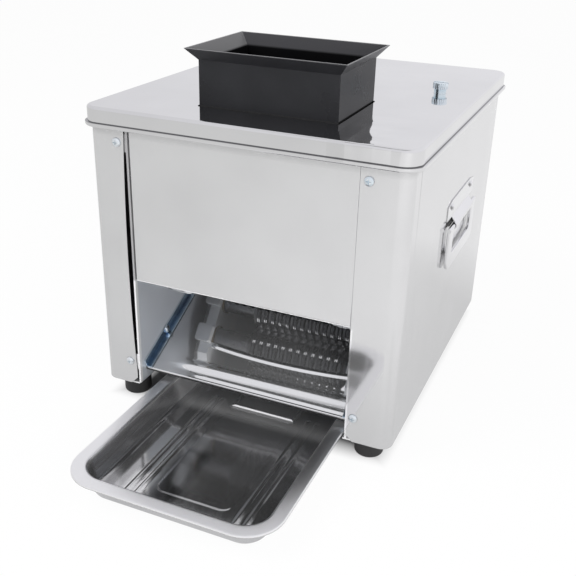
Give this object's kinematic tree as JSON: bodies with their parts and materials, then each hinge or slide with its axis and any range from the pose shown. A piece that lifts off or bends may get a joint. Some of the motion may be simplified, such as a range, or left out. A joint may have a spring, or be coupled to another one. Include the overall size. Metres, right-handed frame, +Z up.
{
  "type": "meat cutting machine",
  "caption": "Desktop meat cutting machine: folded stainless casing, lift-off lid with feed hopper, geared drums of round blades, belt drive, chute, sliding tray and drop handles.",
  "frame": {"origin": "on the table, under the middle of the casing", "axes": "+Z up, -Y out of the front where the tray is, +X to the right seen from the front"},
  "size_m": [0.3344, 0.5658, 0.3697],
  "materials": {
    "casing_steel": "polished stainless sheet, mirror-like with a faint wave",
    "inner_steel": "plain rolled stainless sheet",
    "chute_steel": "mirror-polished stainless sheet",
    "tray_steel": "drawn stainless sheet with fine streaks",
    "handle_steel": "polished stainless steel",
    "zinc": "bright zinc plating with a blue tint",
    "hopper_plastic": "satin black moulded plastic",
    "foot_rubber": "black rubber",
    "belt_rubber": "black ribbed rubber",
    "blade_steel": "ground tool steel",
    "machined_steel": "turned and milled steel",
    "bush_bronze": "sintered bronze",
    "cast_aluminium": "cast, with machined faces",
    "motor_paint": "dark enamel",
    "black_plastic": "moulded plastic",
    "rocker_plastic": "glossy moulded plastic"
  },
  "bodies": {
    "casing": {"left_side_shell": "casing_steel", "right_side_shell": "casing_steel", "rear_panel": "casing_steel", "front_panel": "casing_steel", "base_plate": "inner_steel", "left_inner_wall": "inner_steel", "right_inner_wall": "inner_steel", "bulkhead": "inner_steel", "discharge_chute": "chute_steel", "left_handle_plate": "handle_steel", "right_handle_plate": "handle_steel", "handle_rivets": "handle_steel", "left_chute_angle": "zinc", "right_chute_angle": "zinc", "left_lid_bracket": "zinc", "right_lid_bracket": "zinc", "front_screws": "zinc", "rear_screws": "zinc", "inner_screws": "zinc", "foot_fixings": "zinc", "rubber_feet": "foot_rubber", "drive_belt": "belt_rubber", "left_cutter_plate": "machined_steel", "right_cutter_plate": "machined_steel", "bearing_caps": "machined_steel", "front_rail": "machined_steel", "rear_rail": "machined_steel", "front_comb": "machined_steel", "rear_comb": "machined_steel", "motor_stator": "machined_steel", "cutter_bushes": "bush_bronze", "countershaft_housing": "cast_aluminium", "motor_end_caps": "cast_aluminium", "motor_housing": "motor_paint", "motor_mount": "motor_paint", "switch_frame": "black_plastic", "cable_gland": "black_plastic"},
    "lid": {"lid": "casing_steel"},
    "hopper": {"hopper": "hopper_plastic"},
    "left_thumb_screw": {"left_thumb_screw": "zinc"},
    "right_thumb_screw": {"right_thumb_screw": "zinc"},
    "tray": {"tray": "tray_steel"},
    "left_handle_bail": {"left_handle_bail": "handle_steel"},
    "right_handle_bail": {"right_handle_bail": "handle_steel"},
    "front_cutter": {"front_cutter_shaft": "machined_steel", "front_blades": "blade_steel", "front_spacers": "machined_steel", "front_timing_gear": "machined_steel"},
    "rear_cutter": {"rear_cutter_shaft": "machined_steel", "rear_blades": "blade_steel", "rear_spacers": "machined_steel", "rear_timing_gear": "machined_steel", "final_gear": "machined_steel"},
    "countershaft": {"countershaft": "machined_steel", "drive_pinion": "machined_steel", "driven_pulley": "cast_aluminium"},
    "motor_rotor": {"motor_shaft": "machined_steel", "motor_rotor": "machined_steel", "motor_pulley": "cast_aluminium"},
    "switch_rocker": {"switch_rocker": "rocker_plastic"}
  },
  "joints": [
    {"name": "motor_spin", "type": "hinge", "parent": "casing", "child": "motor_rotor", "pos_m": [0, 0.1, 0.098], "axis": [1, 0, 0], "continuous": true},
    {"name": "countershaft_spin", "type": "hinge", "parent": "casing", "child": "countershaft", "pos_m": [0, 0.01, 0.128], "axis": [1, 0, 0], "continuous": true},
    {"name": "rear_cutter_spin", "type": "hinge", "parent": "casing", "child": "rear_cutter", "pos_m": [0, -0.071, 0.128], "axis": [1, 0, 0], "continuous": true},
    {"name": "front_cutter_spin", "type": "hinge", "parent": "casing", "child": "front_cutter", "pos_m": [0, -0.115, 0.128], "axis": [1, 0, 0], "continuous": true},
    {"name": "tray_slide", "type": "slide", "parent": "casing", "child": "tray", "axis": [0, -1, 0], "range_m": [-0.08, 0.12]},
    {"name": "lid_lift", "type": "slide", "parent": "casing", "child": "lid", "axis": [0, 0, 1], "range_m": [0, 0.16]},
    {"name": "hopper_lift", "type": "slide", "parent": "lid", "child": "hopper", "axis": [0, 0, 1], "range_m": [0, 0.16]},
    {"name": "left_thumb_turn", "type": "hinge", "parent": "lid", "child": "left_thumb_screw", "pos_m": [-0.1235, 0.0311, 0.316], "axis": [0, 0, 1], "continuous": true},
    {"name": "right_thumb_turn", "type": "hinge", "parent": "lid", "child": "right_thumb_screw", "pos_m": [0.1235, 0.0311, 0.316], "axis": [0, 0, 1], "continuous": true},
    {"name": "left_bail_swing", "type": "hinge", "parent": "casing", "child": "left_handle_bail", "pos_m": [-0.1636, 0.018, 0.194], "axis": [0, 1, 0], "range_deg": [0, 90]},
    {"name": "right_bail_swing", "type": "hinge", "parent": "casing", "child": "right_handle_bail", "pos_m": [0.1636, 0.018, 0.194], "axis": [0, -1, 0], "range_deg": [0, 90]},
    {"name": "switch_tip", "type": "hinge", "parent": "casing", "child": "switch_rocker", "pos_m": [-0.149, -0.12, 0.25], "axis": [0, 1, 0], "range_deg": [0, 16]}
  ],
  "couplings": [
    {"joint": "countershaft_spin", "follows": "motor_spin", "ratio": 0.35714},
    {"joint": "rear_cutter_spin", "follows": "motor_spin", "ratio": -0.10204},
    {"joint": "front_cutter_spin", "follows": "motor_spin", "ratio": 0.10204}
  ]
}
